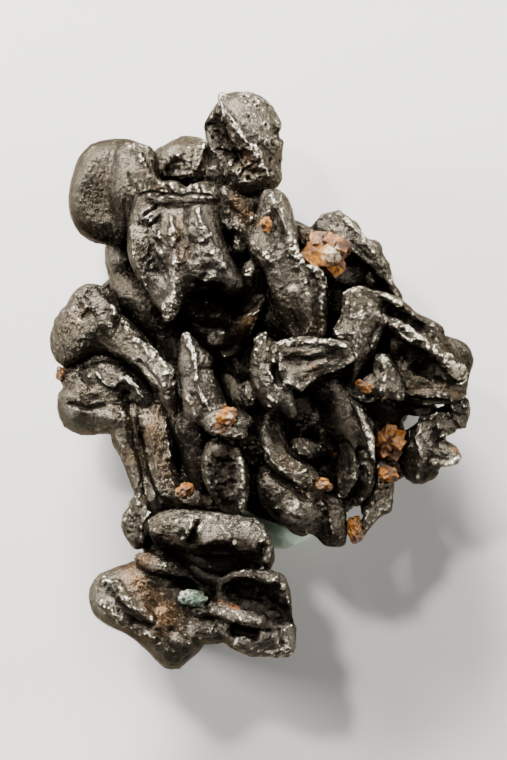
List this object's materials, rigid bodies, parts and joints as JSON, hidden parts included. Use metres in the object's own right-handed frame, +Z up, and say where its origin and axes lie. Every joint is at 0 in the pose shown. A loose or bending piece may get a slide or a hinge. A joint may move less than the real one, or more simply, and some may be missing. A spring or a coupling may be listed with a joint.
{
  "type": "acanthite specimen",
  "caption": "Intergrown mass of stout, bent, worm-like dark silver sulphide crystals with orange grains and a green putty foot, lying on its back",
  "frame": {"origin": "bottom centre of the specimen's bounding box, on the surface that it lies on", "axes": "+Y from the lower wing to the top knob, +Z up through the side that faces the picture, +X to the right of the picture"},
  "size_m": [0.0338, 0.0466, 0.0207],
  "materials": {
    "acanthite": "dark grey sulphide with a dull to sub-metallic sheen, pitted, striated and brown-tarnished",
    "calcite": "rust-stained grainy calcite, orange to cream",
    "green_crust": "pale green to white sparkling crust",
    "putty": "smooth pale sea-green putty"
  },
  "bodies": {
    "root": {"acanthite": "acanthite", "calcite_upper_right": "calcite", "calcite_right": "calcite", "calcite_fin": "calcite", "calcite_lower_right": "calcite", "calcite_worm": "calcite", "calcite_seat": "calcite", "calcite_band": "calcite", "calcite_wedge": "calcite", "calcite_blade": "calcite", "calcite_cleft": "calcite", "green_crust": "green_crust", "green_putty": "putty"}
  },
  "joints": []
}
